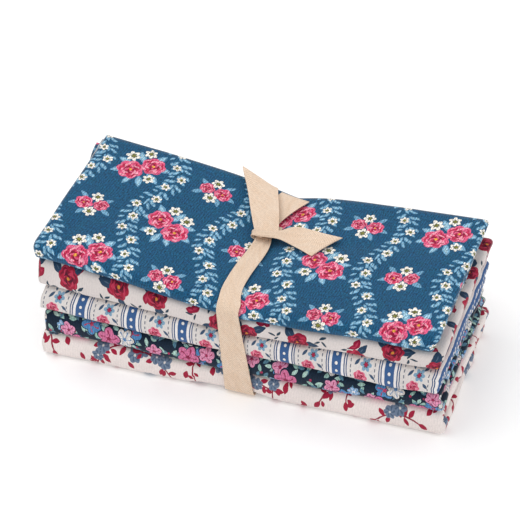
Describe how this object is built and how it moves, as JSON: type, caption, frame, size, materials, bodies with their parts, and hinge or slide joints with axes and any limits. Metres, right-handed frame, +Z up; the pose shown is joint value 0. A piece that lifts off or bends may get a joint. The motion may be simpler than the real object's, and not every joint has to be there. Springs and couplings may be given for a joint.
{
  "type": "fat quarter bundle",
  "caption": "Stack of folded printed cotton cuts with rounded front folds, bound round the middle by a knotted flat ribbon with short free ends.",
  "frame": {"origin": "centre of the bounding box's underside, on the surface that the stack rests on", "axes": "+Z up, +X along the stack's long side towards the folded ends, -Y towards the rounded front folds"},
  "size_m": [0.2809, 0.1379, 0.0949],
  "materials": {
    "blue_floral_cotton": "matt printed cotton",
    "cream_rose_cotton": "matt printed cotton",
    "striped_cotton": "matt printed cotton",
    "navy_floral_cotton": "matt printed cotton",
    "cream_branch_cotton": "matt printed cotton",
    "cotton_ribbon": "matt cotton tape"
  },
  "bodies": {
    "root": {"fat_quarter_blue_floral": "blue_floral_cotton", "fat_quarter_cream_roses": "cream_rose_cotton", "fat_quarter_striped": "striped_cotton", "fat_quarter_navy_floral": "navy_floral_cotton", "fat_quarter_cream_branches": "cream_branch_cotton", "ribbon_tie": "cotton_ribbon"}
  },
  "joints": []
}
